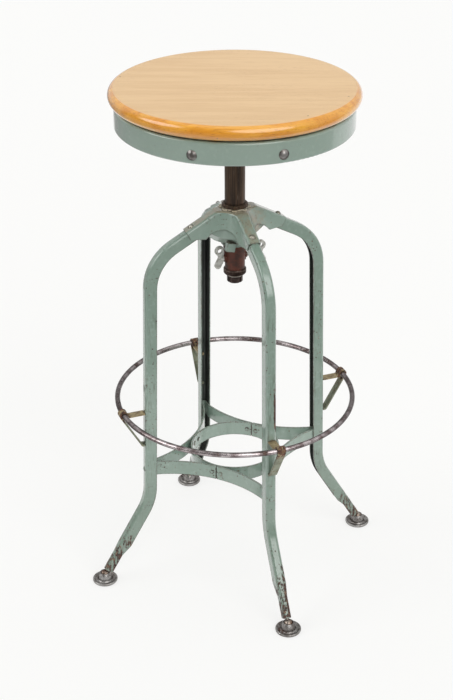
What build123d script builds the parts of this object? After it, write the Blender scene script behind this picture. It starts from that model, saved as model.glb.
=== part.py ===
from build123d import *
from math import asin, cos, degrees, radians, sin, sqrt, tan
import os

# Height-adjustable work stool. Millimetres, +Z up, origin on the floor under the post axis.
# The four legs stand on the -Y (front), +X (right), +Y (back) and -X (left) directions.

GAP = 0.05                    # clearance between parts that touch
LEG_ANGLES = {"front": -90, "right": 0, "back": 90, "left": 180}

# Seat
BOARD_R = 178.0
BOARD_T = 24.2
SEAT_TOP = 790.9
PAN_R = 170.6
PAN_T = 1.5
PAN_DEPTH = 32.5
PAN_LIP = 6.0
PAN_BEND = 3.4
SEAT_FRONT = -110.0           # direction of the seat's own front, between two of its bolts
BOLT_SPREAD = 20.8            # angle of each skirt bolt from the seat's front-back line
BOLT_DROP = 19.8              # bolt axis below the underside of the board
STRAP_W = 26.0
STRAP_T = 3.0
STRAP_GAP = 0.55              # the flat strap end meets the round skirt only at its two edges
STRAP_PAST_BOLT = 8.0
SCREW_CIRCLE = 118.0

# Post, spindle and their bearings
POST_R = 14.9
POST_WALL = 2.6
POST_TOP = 735.0
POST_BOTTOM = 503.0
SPINDLE_R = 8.0
STOP_R = 16.9
STOP_TOP = 512.0
SLOT_W = 3.0                  # spanner slots of the round nuts
SLOT_DEPTH = 2.6
SLOT_TURN = 20.0
NUT_EDGE = 0.8

# Hub
SHEET = 1.6
HUB_TOP = 608.4
HUB_FLOOR = 558.0
WALL_BOTTOM = 569.5
ARM_END = 78.0
RIVET_REACH = 67.5
SLEEVE_R = 17.2
SLEEVE_TOP = 615.5
SLEEVE_BOTTOM = 545.0
TONGUE_BOTTOM = 523.0
CLAMP_Z = 530.0

# Legs
LEG_W = 16.0
LEG_D = 18.0
LEG_T = 2.0
SHOULDER_SLOPE = 28.5         # below the horizontal
SHANK_LEAN = 1.57             # from the vertical
FOOT_SPLAY = 30.7             # from the vertical
BEND_R = 80.0
SHOULDER_CORNER = (141.1, 546.2)
FOOT_CIRCLE = 222.0
PINCH_TAPER = 20.0            # the foot narrows over this length, then runs on straight
PINCH_STRAIGHT = 33.0
PINCH_W = 12.0
PINCH_D = 13.5

# Glides
GLIDE_R = 19.5
BALL_R = 7.0
BALL_Z = 12.5
LEG_END = 8.6                 # leg end above the ball's centre, along the foot

# Foot ring and brackets
RING_R = 181.4
RING_Z = 297.4
RING_WIRE = 4.0
BAR_W = 12.0
BAR_T = 2.5
UPPER_ARM_Z = 293.5
LOWER_ARM_Z = 238.5

# Brace
BRACE_TOP = 204.5
BRACE_H = 23.0
BRACE_T = 2.5
STRAP_TURN = 15.0             # bend where a strap leaves its leg
RIVET_R = 2.0


def polar(radius, angle):
    """A point in plan, at a radius and an angle from +X."""
    return (radius * cos(radians(angle)), radius * sin(radians(angle)))


def radial_plane(angle, radius=0.0):
    """The upright plane through the post axis: local x is outward, local y is up."""
    c, s = polar(1, angle)
    return Plane(origin=(radius * c, radius * s, 0), x_dir=(c, s, 0), z_dir=(s, -c, 0))


def plane_on(angle, radius, height, rise=0.0):
    """A plane that faces outward at a point on a leg, tipped up by rise degrees."""
    c, s = polar(1, angle)
    level, up = polar(1, rise)
    normal = (c * level, s * level, up)
    return Plane(origin=(radius * c, radius * s, height), x_dir=(-s, c, 0), z_dir=normal)


def shank_radius(height):
    """Outer face of a leg's web on its straight part."""
    return SHOULDER_CORNER[0] + (SHOULDER_CORNER[1] - height) * tan(radians(SHANK_LEAN))


def shoulder_height(radius):
    """Outer face of a leg's web on its sloping top part."""
    return SHOULDER_CORNER[1] + (SHOULDER_CORNER[0] - radius) * tan(radians(SHOULDER_SLOPE))


def save(builder, name):
    """Label a finished piece and write its STEP file."""
    builder.part.label = name
    export_step(builder.part, f"parts/{name}.step")


# ---------------------------------------------------------------- legs

# The foot's axis runs through the ball; the web's outer face lies beside it by this much.
WEB_TO_AXIS = 5.4
LEG_START_R = 42.0
OUTER_BEND = 4.6
INNER_BEND = OUTER_BEND - LEG_T


def foot_corner():
    """Where the straight part of the web would meet the splayed part."""
    splay = tan(radians(FOOT_SPLAY))
    lean = tan(radians(SHANK_LEAN))
    web_r = FOOT_CIRCLE + WEB_TO_AXIS / cos(radians(FOOT_SPLAY))
    top_r, top_z = SHOULDER_CORNER
    height = (web_r + BALL_Z * splay - top_r - top_z * lean) / (splay - lean)
    return (top_r + (top_z - height) * lean, height)


def foot_point(distance):
    """A point on the outer face of the web, at a distance from the ball along the foot."""
    c, s = polar(1, FOOT_SPLAY)
    return (FOOT_CIRCLE + WEB_TO_AXIS * c - distance * s, BALL_Z + WEB_TO_AXIS * s + distance * c)


def channel_section(width, depth):
    """A channel's outline: web on local y = 0, flanges towards -y, bends rounded."""
    half = width / 2
    inner = half - LEG_T
    with BuildLine() as outline:
        Polyline(
            (-half, 0),
            (half, 0),
            (half, -depth),
            (inner, -depth),
            (inner, -LEG_T),
            (-inner, -LEG_T),
            (-inner, -depth),
            (-half, -depth),
            close=True,
        )
    make_face(outline.edges())
    fillet(vertices().filter_by(lambda v: abs(v.Y) < GAP), OUTER_BEND)
    fillet(vertices().filter_by(lambda v: abs(v.Y + LEG_T) < GAP and abs(v.X) < half - GAP), INNER_BEND)


def leg(angle):
    """A channel leg: hub slope, shoulder bend, leaning shank, splayed and pinched foot."""
    tangent = (-sin(radians(angle)), cos(radians(angle)), 0)
    start = (LEG_START_R, shoulder_height(LEG_START_R))
    with BuildPart() as piece:
        with BuildLine(radial_plane(angle)) as path:
            FilletPolyline(start, SHOULDER_CORNER, foot_corner(),
                           foot_point(LEG_END + PINCH_STRAIGHT + PINCH_TAPER), radius=BEND_R)
        with BuildSketch(Plane(origin=path.line @ 0, x_dir=tangent, z_dir=path.line % 0)):
            channel_section(LEG_W, LEG_D)
        sweep(path=path.line)
        pinch_top = Plane(origin=path.line @ 1, x_dir=tangent, z_dir=path.line % 1)
        with BuildSketch(pinch_top):
            channel_section(LEG_W, LEG_D)
        with BuildSketch(pinch_top.offset(PINCH_TAPER)):
            channel_section(PINCH_W, PINCH_D)
        loft()
        with BuildSketch(pinch_top.offset(PINCH_TAPER)):
            channel_section(PINCH_W, PINCH_D)
        extrude(amount=PINCH_STRAIGHT)
        with Locations(arm_rivet_seat(angle), brace_rivet_seat(angle)):
            Hole(radius=RIVET_R + GAP, depth=3 * LEG_T)
        with Locations(tenon_seat(angle, UPPER_ARM_Z), tenon_seat(angle, LOWER_ARM_Z)):
            Hole(radius=TENON_R + GAP, depth=3 * LEG_T)
    return piece


def arm_rivet_seat(angle):
    """Outer face of the web where the hub arm is riveted on."""
    return plane_on(angle, RIVET_REACH, shoulder_height(RIVET_REACH), 90 - SHOULDER_SLOPE)


def brace_rivet_seat(angle):
    height = BRACE_TOP - BRACE_H / 2
    return plane_on(angle, shank_radius(height), height, SHANK_LEAN)


def tenon_seat(angle, height):
    return plane_on(angle, shank_radius(height), height)


# ---------------------------------------------------------------- rivets and bolts


def dome(rim_r, rise, base):
    """Points of a round head's outline: rim, halfway, crown. A negative rise turns it down."""
    height = abs(rise)
    sphere_r = (rim_r ** 2 + height ** 2) / (2 * height)
    half = asin(rim_r / sphere_r) / 2
    middle = height - sphere_r * (1 - cos(half))
    sign = 1 if rise > 0 else -1
    return (rim_r, base), (sphere_r * sin(half), base + sign * middle), (0, base + rise)


def rivet(head, grip, tail):
    """A rivet standing on Z: the head sits above z = 0, the tail below z = -grip."""
    head_r, head_h = head
    tail_r, tail_h = tail
    under = -grip - GAP
    with BuildPart() as piece:
        with BuildSketch(Plane.XZ):
            with BuildLine():
                ThreePointArc(*dome(head_r, head_h, GAP))
                Line((0, head_h + GAP), (0, under - tail_h))
                ThreePointArc(*dome(tail_r, -tail_h, under))
                Polyline((tail_r, under), (RIVET_R, under), (RIVET_R, GAP), (head_r, GAP))
            make_face()
        revolve(axis=Axis.Z)
    return piece.part


def rivet_group(seats, shape):
    """The same rivet at several seats."""
    with BuildPart() as group:
        with Locations(*seats):
            add(shape)
    return group


# ---------------------------------------------------------------- hub

ARM_HALF = LEG_W / 2 + 2 * GAP + SHEET
WAIST_TOP = 24.0              # post axis to the hub's wall between two arms, at the roof
WAIST_LOW = 40.0              # the same at the bottom of the wall
CREST_ROUND = 12.0            # where the arms' slopes meet the flat roof
RIM_ROUND = 4.2
ROOF_RISE = (2 * GAP + SHEET) / cos(radians(SHOULDER_SLOPE))
ARCH_R = 29.5
ARCH_Z = 554.9
TRAY_HALF = LEG_W / 2 - 2 * GAP
TRAY_WAIST = 30.0
TRAY_REACH = 57.0
TRAY_TALL_R = 33.5            # inside this the tray's wall is at its full height
TRAY_WALL_TOP = 583.0
FLOOR_FLAT = 27.0
FLOOR_SLOPE = 22.0
CORNER_FLAT = 21.0
CORNER_SLOPE = 50.0
LUG_SIZE = 13.0
LUG_AT = (-16.5, 556.9)
LUG_BACK = 19.6
LUG_FRONT = 28.5
LUG_LEAN = -12.0
LUG_ROUND = 1.2
HUB_HEAD = (4.3, 3.0)         # hub rivets: head radius and height, then tail
HUB_TAIL = (3.2, 1.6)


def waist_round(half, waist):
    """Radius of the round between two arms that leaves this distance from the post axis."""
    return (waist - half * sqrt(2)) / (sqrt(2) - 1)


def star(half, waist, reach):
    """Four crossing arms with wide rounds between them."""
    span = 4 * ARM_END
    Rectangle(span, 2 * half)
    Rectangle(2 * half, span)
    inside = vertices().filter_by(lambda v: abs(abs(v.X) - half) < GAP and abs(abs(v.Y) - half) < GAP)
    fillet(inside, waist_round(half, waist))
    Rectangle(2 * reach, 2 * reach, mode=Mode.INTERSECT)


def both_sides(points):
    """Close an outline by mirroring its right half across local x = 0."""
    with BuildLine() as outline:
        Polyline(*points, *[(-x, y) for x, y in reversed(points)], close=True)
    make_face(outline.edges())


def spider_block(half, skin, reach, roof):
    """Four arms with drafted walls between them, under a roof given as its right half outline."""
    with BuildPart() as block:
        with BuildSketch(Plane.XY.offset(WALL_BOTTOM)):
            star(half, WAIST_LOW - skin, reach)
        with BuildSketch(Plane.XY.offset(HUB_TOP)):
            star(half, WAIST_TOP - skin, reach)
        loft(ruled=True)
        for side in (Plane.XZ, Plane.YZ):
            with BuildSketch(side):
                both_sides(roof)
            extrude(amount=2 * reach, both=True, mode=Mode.INTERSECT)
    return block.part


def upper_hub():
    """The pressed spider that caps the leg tops: roof, walls and an arch between each two arms."""
    slope = radians(SHOULDER_SLOPE)
    far = 2 * ARM_END
    flat_r = SHOULDER_CORNER[0] - (HUB_TOP - ROOF_RISE - SHOULDER_CORNER[1]) / tan(slope)
    end_z = shoulder_height(ARM_END) + ROOF_RISE
    low_r = ARM_END - (end_z - WALL_BOTTOM) * tan(slope)
    outside = [(flat_r, HUB_TOP), (ARM_END, end_z), (low_r, WALL_BOTTOM)]
    inner_r = flat_r - SHEET * tan(slope / 2)
    inner_end = shoulder_height(far) + ROOF_RISE - SHEET / cos(slope)
    inside = [(inner_r, HUB_TOP - SHEET), (far, inner_end), (far, 0)]
    with BuildPart() as piece:
        add(spider_block(ARM_HALF, 0, ARM_END, outside))
        fillet(edges().filter_by(on_crest), CREST_ROUND)
        fillet(edges().filter_by(on_rim), RIM_ROUND)
        add(spider_block(ARM_HALF - SHEET, SHEET, far, inside), mode=Mode.SUBTRACT)
        for angle in (45, 135):
            with BuildSketch(radial_plane(angle + 90)):
                with Locations((0, ARCH_Z)):
                    Circle(ARCH_R)
            extrude(amount=far, both=True, mode=Mode.SUBTRACT)
        with Locations((0, 0, HUB_TOP)):
            Hole(radius=SLEEVE_R + GAP, depth=3 * SHEET)
        with Locations(*[arm_rivet_seat(angle).offset(2 * SHEET) for angle in LEG_ANGLES.values()]):
            Hole(radius=RIVET_R + GAP, depth=4 * SHEET)
    return piece


def on_crest(edge):
    """Straight edges across an arm, where its slope meets the flat roof."""
    low, high = edge.bounding_box().min, edge.bounding_box().max
    return low.Z > HUB_TOP - GAP and min(high.X - low.X, high.Y - low.Y) < GAP


def on_rim(edge):
    """Edges between the roof and a wall."""
    box = edge.bounding_box()
    far_out = max(abs(box.min.X), abs(box.max.X), abs(box.min.Y), abs(box.max.Y))
    across = min(box.max.X - box.min.X, box.max.Y - box.min.Y) < GAP and far_out > ARM_END - GAP
    middle = edge.position_at(0.5)
    reach = max(abs(middle.X), abs(middle.Y))
    side = min(abs(middle.X), abs(middle.Y))
    roof = min(HUB_TOP, shoulder_height(reach) + ROOF_RISE)
    return side > ARM_HALF / 2 and abs(middle.Z - roof) < 1 and not across


def under_leg(radius):
    """Height of a leg's lower edges on its sloping top part."""
    return shoulder_height(radius) - LEG_D / cos(radians(SHOULDER_SLOPE)) - 2 * GAP


def tray_block(half, waist, lift, top):
    """The tray's outside, or its hollow when lifted by the sheet: floor rising out and to the corners."""
    floor = HUB_FLOOR + lift
    far = 2 * TRAY_REACH
    rise_in = tan(radians(FLOOR_SLOPE))
    rise_corner = tan(radians(CORNER_SLOPE))
    arms = [(FLOOR_FLAT, floor), (TRAY_REACH, floor + (TRAY_REACH - FLOOR_FLAT) * rise_in), *top]
    corners = [(CORNER_FLAT, floor), (far, floor + (far - CORNER_FLAT) * rise_corner), (far, 2 * HUB_TOP)]
    with BuildPart() as block:
        with BuildSketch(Plane.XY.offset(HUB_FLOOR)):
            star(half, waist, TRAY_REACH)
        extrude(amount=HUB_TOP - HUB_FLOOR)
        for angle, outline in ((0, arms), (90, arms), (45, corners), (135, corners)):
            with BuildSketch(radial_plane(angle)):
                both_sides(outline)
            extrude(amount=far, both=True, mode=Mode.INTERSECT)
    return block.part


def lower_hub():
    """The pressed tray under the leg ends, open at the top, with a square spanner lug."""
    wall_top = [(TRAY_REACH, under_leg(TRAY_REACH)), (TRAY_TALL_R, TRAY_WALL_TOP)]
    open_top = [(TRAY_REACH, 2 * HUB_TOP)]
    with BuildPart() as piece:
        add(tray_block(TRAY_HALF, TRAY_WAIST, 0, wall_top))
        with BuildSketch(Plane.XZ.offset(LUG_BACK)):
            with Locations(LUG_AT):
                Rectangle(LUG_SIZE, LUG_SIZE, rotation=LUG_LEAN)
        extrude(amount=LUG_FRONT - LUG_BACK)
        fillet(faces().sort_by(Axis.Y)[0].edges(), LUG_ROUND)
        add(tray_block(TRAY_HALF - SHEET, TRAY_WAIST - SHEET, SHEET, open_top), mode=Mode.SUBTRACT)
        with Locations((0, 0, HUB_FLOOR + SHEET)):
            Hole(radius=SLEEVE_R + GAP, depth=3 * SHEET)
    return piece


COLLAR_R = 19.0
COLLAR_BOTTOM = HUB_TOP + 2.4
TONGUE_R = 16.6
BOSS_R = 4.6
BOSS_REACH = 18.2
CLAMP_SCREW_R = 3.0
BORE_R = POST_R + 0.08
COLLAR_EDGE = 1.5
MOUTH_EDGE = 0.6
TONGUE_FRONT = -3.5           # front of the part that goes on below the hub


def guide_sleeve():
    """The tube that guides the post; below the hub only its back half goes on, with two bosses."""
    outline = [
        (BORE_R, TONGUE_BOTTOM),
        (TONGUE_R, TONGUE_BOTTOM),
        (TONGUE_R, SLEEVE_BOTTOM),
        (SLEEVE_R, SLEEVE_BOTTOM),
        (SLEEVE_R, COLLAR_BOTTOM),
        (COLLAR_R, COLLAR_BOTTOM),
        (COLLAR_R, SLEEVE_TOP - COLLAR_EDGE),
        (COLLAR_R - COLLAR_EDGE, SLEEVE_TOP),
        (BORE_R + MOUTH_EDGE, SLEEVE_TOP),
        (BORE_R, SLEEVE_TOP - MOUTH_EDGE),
    ]
    with BuildPart() as piece:
        with BuildSketch(Plane.XZ):
            with BuildLine():
                Polyline(*outline, close=True)
            make_face()
        revolve(axis=Axis.Z)
        with BuildSketch(Plane.XY.offset(TONGUE_BOTTOM)):
            with Locations((0, TONGUE_FRONT - SLEEVE_R)):
                Rectangle(4 * SLEEVE_R, 2 * SLEEVE_R)
        extrude(amount=SLEEVE_BOTTOM - TONGUE_BOTTOM, mode=Mode.SUBTRACT)
        with BuildSketch(Plane.YZ.offset(-BOSS_REACH)):
            with Locations((0, CLAMP_Z)):
                Circle(BOSS_R)
        extrude(amount=2 * BOSS_REACH)
        with Locations((0, 0, SLEEVE_TOP)):
            Hole(radius=BORE_R, depth=SLEEVE_TOP)
        with Locations(Plane(origin=(BOSS_REACH, 0, CLAMP_Z), z_dir=(1, 0, 0))):
            Hole(radius=CLAMP_SCREW_R + GAP, depth=2 * BOSS_REACH)
    return piece


PETALS = 8
PETAL_R = 4.4
PETAL_CIRCLE = SLEEVE_R + 2.0
PETAL_ROUND = 0.7


def crimp_ring():
    """The ring of rounded petals staked over the top of the hub."""
    with BuildPart() as piece:
        with BuildSketch(Plane.XY.offset(HUB_TOP + GAP)):
            Circle(PETAL_CIRCLE + 0.2)
            with PolarLocations(PETAL_CIRCLE, PETALS, start_angle=180 / PETALS):
                Circle(PETAL_R)
            Circle(SLEEVE_R + GAP, mode=Mode.SUBTRACT)
        extrude(amount=COLLAR_BOTTOM - HUB_TOP - 2 * GAP)
        fillet(edges().group_by(Axis.Z)[-1].filter_by(lambda e: e.radius < PETAL_R + GAP), PETAL_ROUND)
    return piece


NUT_R = 21.0
NUT_T = 6.0


def sleeve_nut():
    """The slotted ring nut under the hub."""
    top = HUB_FLOOR - GAP
    with BuildPart() as piece:
        with BuildSketch(Plane.XY.offset(top - NUT_T)):
            Circle(NUT_R)
            Circle(SLEEVE_R + GAP, mode=Mode.SUBTRACT)
            with PolarLocations(NUT_R, 4, start_angle=SLOT_TURN):
                Rectangle(SLOT_DEPTH, SLOT_W, mode=Mode.SUBTRACT)
        extrude(amount=NUT_T)
        chamfer(round_edges(NUT_R), NUT_EDGE)
    return piece


def round_edges(radius):
    """The arcs of this radius in the part being built."""
    return edges().filter_by(GeomType.CIRCLE).filter_by(lambda e: abs(e.radius - radius) < GAP)


# ---------------------------------------------------------------- clamp

SHOE_R = 2.9
SHOE_INNER = POST_R + 0.1
SHOE_OUTER = 16.9
SHOE_EDGE = 0.4
SCREW_EDGE = 1.0
EAR_R = 7.4
EAR_T = 4.4
EAR_AT = (3.0, 11.6)           # eye from the middle of the hub: outward, up
EAR_EYE = 3.6
PADDLE_TIP = (6.0, -11.5)
PADDLE_HALF = 4.8
WING_REACH = {"left": 21.0, "right": 37.9}
WING_HUB_R = 4.6
WING_HUB_L = 5.2


def clamp_side(side):
    """The upright plane of one clamp screw: local x is outward from the post, local y is up."""
    return radial_plane(LEG_ANGLES[side])


def clamp_shoe(side):
    """The small round shoe between a wing screw and the post."""
    with BuildPart() as piece:
        with BuildSketch(clamp_side(side)):
            with BuildLine():
                Polyline((SHOE_INNER, CLAMP_Z), (SHOE_INNER, CLAMP_Z + SHOE_R - SHOE_EDGE),
                         (SHOE_INNER + SHOE_EDGE, CLAMP_Z + SHOE_R), (SHOE_OUTER, CLAMP_Z + SHOE_R),
                         (SHOE_OUTER, CLAMP_Z), close=True)
            make_face()
        revolve(axis=clamp_axis(side))
    return piece


def clamp_axis(side):
    direction = 1 if side == "right" else -1
    return Axis((0, 0, CLAMP_Z), (direction, 0, 0))


def wing_screw(side):
    """A cast wing screw: plain shank, round hub, one ear with an eye and one solid ear."""
    reach = WING_REACH[side]
    hub_in = reach - WING_HUB_L / 2
    hub_out = reach + WING_HUB_L / 2
    tip = SHOE_OUTER + GAP
    turned = [
        (tip, CLAMP_Z),
        (tip, CLAMP_Z + CLAMP_SCREW_R - SCREW_EDGE),
        (tip + SCREW_EDGE, CLAMP_Z + CLAMP_SCREW_R),
        (hub_in, CLAMP_Z + CLAMP_SCREW_R),
        (hub_in, CLAMP_Z + WING_HUB_R),
        (hub_out - 2 * SCREW_EDGE, CLAMP_Z + WING_HUB_R - SCREW_EDGE / 2),
        (hub_out, CLAMP_Z + WING_HUB_R / 2),
        (hub_out, CLAMP_Z),
    ]
    with BuildPart() as piece:
        with BuildSketch(clamp_side(side)):
            with BuildLine():
                Polyline(*turned, close=True)
            make_face()
        revolve(axis=clamp_axis(side))
        with BuildSketch(clamp_side(side)):
            with Locations((reach + EAR_AT[0], CLAMP_Z + EAR_AT[1])):
                Circle(EAR_R)
            with Locations((reach + PADDLE_TIP[0], CLAMP_Z + PADDLE_TIP[1])):
                Circle(PADDLE_HALF)
            with Locations((reach, CLAMP_Z)):
                Circle(PADDLE_HALF)
                Polygon(*band((0, 0), EAR_AT, PADDLE_HALF), align=None)
                Polygon(*band((0, 0), PADDLE_TIP, PADDLE_HALF), align=None)
            with Locations((reach + EAR_AT[0], CLAMP_Z + EAR_AT[1])):
                Circle(EAR_EYE, mode=Mode.SUBTRACT)
            with Locations((hub_in + reach, CLAMP_Z)):
                Rectangle(2 * reach, 2 * reach, mode=Mode.INTERSECT)
        extrude(amount=EAR_T / 2, both=True)
    return piece


def band(start, end, half):
    """Corners of the straight band between two points."""
    length = sqrt((end[0] - start[0]) ** 2 + (end[1] - start[1]) ** 2)
    aside = ((start[1] - end[1]) * half / length, (end[0] - start[0]) * half / length)
    left = [(x + aside[0], y + aside[1]) for x, y in (start, end)]
    right = [(x - aside[0], y - aside[1]) for x, y in (end, start)]
    return left + right


# ---------------------------------------------------------------- post and spindle

TUBE_BORE = POST_R - POST_WALL
BUSH_R = TUBE_BORE - GAP
BUSH_L = 18.0
FLANGE_T = 2.0
FLANGE_R = 12.6
BUSH_BORE = SPINDLE_R + GAP
BOSS_BOTTOM = 740.0
SPINDLE_END = 489.6
SPINDLE_TOP = 756.0
END_NUT_R = 11.8
END_NUT_T = 9.0
WASHER_R = 11.6
WASHER_T = 1.6
WASHER_EDGE = 0.3


def ring(inner, outer, bottom, top, edge=0.0):
    """A turned ring on the post axis."""
    with BuildPart() as piece:
        with BuildSketch(Plane.XY.offset(bottom)):
            Circle(outer)
            Circle(inner, mode=Mode.SUBTRACT)
        extrude(amount=top - bottom)
        if edge:
            outside = edges().filter_by(GeomType.CIRCLE).filter_by(lambda e: e.radius > outer - GAP)
            chamfer(outside, edge)
    return piece


GROOVE_DEPTH = 0.8
GROOVE_DROPS = (3.0, 5.4)
STOP_EDGE = 1.4
STOP_WAIST = 7.2              # where the collar starts to taper, below its top


def groove(drop):
    """Outline points of a turned groove in the stop collar, at a distance below its top."""
    bottom = STOP_R - GROOVE_DEPTH
    return [(STOP_R, STOP_TOP - drop), (bottom, STOP_TOP - drop - GROOVE_DEPTH / 2),
            (bottom, STOP_TOP - drop - GROOVE_DEPTH), (STOP_R, STOP_TOP - drop - 1.5 * GROOVE_DEPTH)]


def stop_collar():
    """The collar on the post's lower end that meets the guide and stops the lift."""
    bore = POST_R + GAP
    grooves = [point for drop in GROOVE_DROPS for point in groove(drop)]
    outline = [
        (bore, POST_BOTTOM),
        (bore, STOP_TOP),
        (STOP_R - STOP_EDGE + 0.2, STOP_TOP),
        (STOP_R, STOP_TOP - STOP_EDGE),
        *grooves,
        (STOP_R, STOP_TOP - STOP_WAIST),
        (bore + 0.5, POST_BOTTOM),
    ]
    with BuildPart() as piece:
        with BuildSketch(Plane.XZ):
            with BuildLine():
                Polyline(*outline, close=True)
            make_face()
        revolve(axis=Axis.Z)
    return piece


def bush(face, inward):
    """A flanged bush in one end of the post; inward is the direction into the tube."""
    with BuildPart() as piece:
        with BuildSketch(Plane.XZ):
            with BuildLine():
                Polyline((BUSH_BORE, face + inward * BUSH_L), (BUSH_R, face + inward * BUSH_L),
                         (BUSH_R, face - inward * GAP), (FLANGE_R, face - inward * GAP),
                         (FLANGE_R, face - inward * FLANGE_T), (BUSH_BORE, face - inward * FLANGE_T),
                         close=True)
            make_face()
        revolve(axis=Axis.Z)
    return piece


PIN_R = 2.5
PIN_Z = 748.0
PIN_EDGE = 0.4
SPINDLE_EDGE = 0.8
NUT_INSET = 0.6               # spindle end below the nut
SOCKET_R = 15.5


def spindle():
    """The spindle that hangs from the seat socket through both bushes."""
    with BuildPart() as piece:
        with BuildSketch(Plane.XY.offset(SPINDLE_END)):
            Circle(SPINDLE_R)
        extrude(amount=SPINDLE_TOP - SPINDLE_END)
        chamfer(edges().filter_by(GeomType.CIRCLE), SPINDLE_EDGE)
        with Locations(Plane(origin=(0, SOCKET_R, PIN_Z), z_dir=(0, 1, 0))):
            Hole(radius=PIN_R + GAP, depth=2 * SOCKET_R)
    return piece


def spindle_pin():
    """The cross pin that ties the spindle to its socket."""
    with BuildPart() as piece:
        with BuildSketch(Plane.XZ.offset(-SOCKET_R)):
            with Locations((0, PIN_Z)):
                Circle(PIN_R)
        extrude(amount=2 * SOCKET_R)
        chamfer(edges().filter_by(GeomType.CIRCLE), PIN_EDGE)
    return piece


def spindle_nut():
    """The round slotted nut on the spindle's lower end."""
    with BuildPart() as piece:
        with BuildSketch(Plane.XY.offset(SPINDLE_END + NUT_INSET)):
            Circle(END_NUT_R)
            Circle(SPINDLE_R + GAP, mode=Mode.SUBTRACT)
            with PolarLocations(END_NUT_R, 4, start_angle=SLOT_TURN):
                Rectangle(SLOT_DEPTH, SLOT_W, mode=Mode.SUBTRACT)
        extrude(amount=END_NUT_T)
        chamfer(round_edges(END_NUT_R), NUT_EDGE)
    return piece


# ---------------------------------------------------------------- seat

BOARD_BOTTOM = SEAT_TOP - BOARD_T
PAN_TOP = BOARD_BOTTOM - GAP
PAN_BOTTOM = PAN_TOP - PAN_DEPTH
SPIDER_TOP = PAN_TOP - PAN_T - GAP
BOLT_Z = BOARD_BOTTOM - BOLT_DROP
BOLT_TURNS = (-BOLT_SPREAD, BOLT_SPREAD, 180 - BOLT_SPREAD, 180 + BOLT_SPREAD)
BOLT_ANGLES = [SEAT_FRONT + turn for turn in BOLT_TURNS]
BOLT_R = 3.2
FLANGE_CIRCLE = 27.0
SOCKET_FLANGE_R = 34.0
SOCKET_FLANGE_T = 3.0
SOCKET_FLARE = 2.5
SINK_R = 3.6
SCREW_SHANK_R = 2.0
SCREW_DEPTH = 15.0
SCREW_HEAD_R = 4.2
SCREW_HEAD_H = 2.6
SCREW_POINT = 6.0
SCREW_ANGLES = [SEAT_FRONT + turn for turn in (0, 65, 115, 180, 245, 295)]


NOSE_STEP = 4.0               # width of the small step round the board's underside
NOSE_LIFT = 2.8
BOARD_NOSE = (BOARD_T - NOSE_LIFT) / 2
TOP_FALL = 0.3                # the flat top falls away this much just inside the nose
TOP_FALL_W = 5.0


def screw_seats():
    """Under the pan, where the board screws enter, facing down."""
    return [Plane(origin=(*polar(SCREW_CIRCLE, angle), SPIDER_TOP + GAP), z_dir=(0, 0, -1))
            for angle in SCREW_ANGLES]


def seat_board():
    """The round wooden seat: flat top, full bullnose edge and a small step underneath."""
    inner = BOARD_R - BOARD_NOSE
    low = (inner + 1, BOARD_BOTTOM + NOSE_LIFT)
    high = (inner, SEAT_TOP - TOP_FALL)
    with BuildPart() as piece:
        with BuildSketch(Plane.XZ):
            with BuildLine():
                Polyline((0, SEAT_TOP), (0, BOARD_BOTTOM), (inner - NOSE_STEP, BOARD_BOTTOM), low)
                ThreePointArc(low, (BOARD_R, BOARD_BOTTOM + NOSE_LIFT + BOARD_NOSE), high)
                Polyline(high, (inner - TOP_FALL_W, SEAT_TOP), (0, SEAT_TOP))
            make_face()
        revolve(axis=Axis.Z)
        with Locations(*screw_seats()):
            Hole(radius=SCREW_SHANK_R + GAP, depth=SCREW_DEPTH + 2 * PAN_T)
    return piece


def seat_pan():
    """The pressed pan under the board: flat top, skirt and turned-in lip."""
    wall_r = PAN_R - PAN_T
    lip_r = PAN_R - PAN_LIP
    lip_top = PAN_BOTTOM + PAN_T
    roof = PAN_TOP - PAN_T
    screw_holes = [Plane(origin=(*polar(SCREW_CIRCLE, angle), PAN_TOP + 1)) for angle in SCREW_ANGLES]
    with BuildPart() as piece:
        with BuildSketch(Plane.XZ):
            with BuildLine():
                outer = FilletPolyline((0, PAN_TOP), (PAN_R, PAN_TOP), (PAN_R, PAN_BOTTOM),
                                       (lip_r, PAN_BOTTOM), radius=PAN_BEND)
                inner = FilletPolyline((lip_r, lip_top), (wall_r, lip_top), (wall_r, roof),
                                       (0, roof), radius=PAN_BEND - PAN_T)
                Line(outer @ 1, inner @ 0)
                Line(inner @ 1, outer @ 0)
            make_face()
        revolve(axis=Axis.Z)
        with Locations(*[plane_on(angle, PAN_R + 1, BOLT_Z) for angle in BOLT_ANGLES]):
            Hole(radius=BOLT_R + GAP, depth=3 * PAN_T)
        with Locations(*screw_holes):
            Hole(radius=SCREW_SHANK_R + GAP, depth=3 * PAN_T)
    return piece


def seat_spider():
    """Two crossing straps under the pan, their ends bent down against the skirt."""
    reach = PAN_R - PAN_T - STRAP_T / 2 - STRAP_GAP
    top = SPIDER_TOP - STRAP_T / 2
    tip = BOLT_Z - STRAP_PAST_BOLT
    with BuildPart() as piece:
        for angle in (SEAT_FRONT - BOLT_SPREAD, SEAT_FRONT + BOLT_SPREAD):
            with BuildSketch(radial_plane(angle)):
                with BuildLine():
                    FilletPolyline((-reach, tip), (-reach, top), (reach, top), (reach, tip),
                                   radius=2 * STRAP_T)
                trace(line_width=STRAP_T)
            extrude(amount=STRAP_W / 2, both=True)
        with Locations(*[plane_on(angle, PAN_R, BOLT_Z) for angle in BOLT_ANGLES]):
            Hole(radius=BOLT_R + GAP, depth=4 * STRAP_T)
        with Locations(*flange_seats()):
            CounterSinkHole(radius=RIVET_R + GAP, counter_sink_radius=SINK_R, depth=3 * STRAP_T,
                            counter_sink_angle=90)
        with Locations((0, 0, SPIDER_TOP)):
            Hole(radius=SPINDLE_R + 1, depth=3 * STRAP_T)
    return piece


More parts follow.
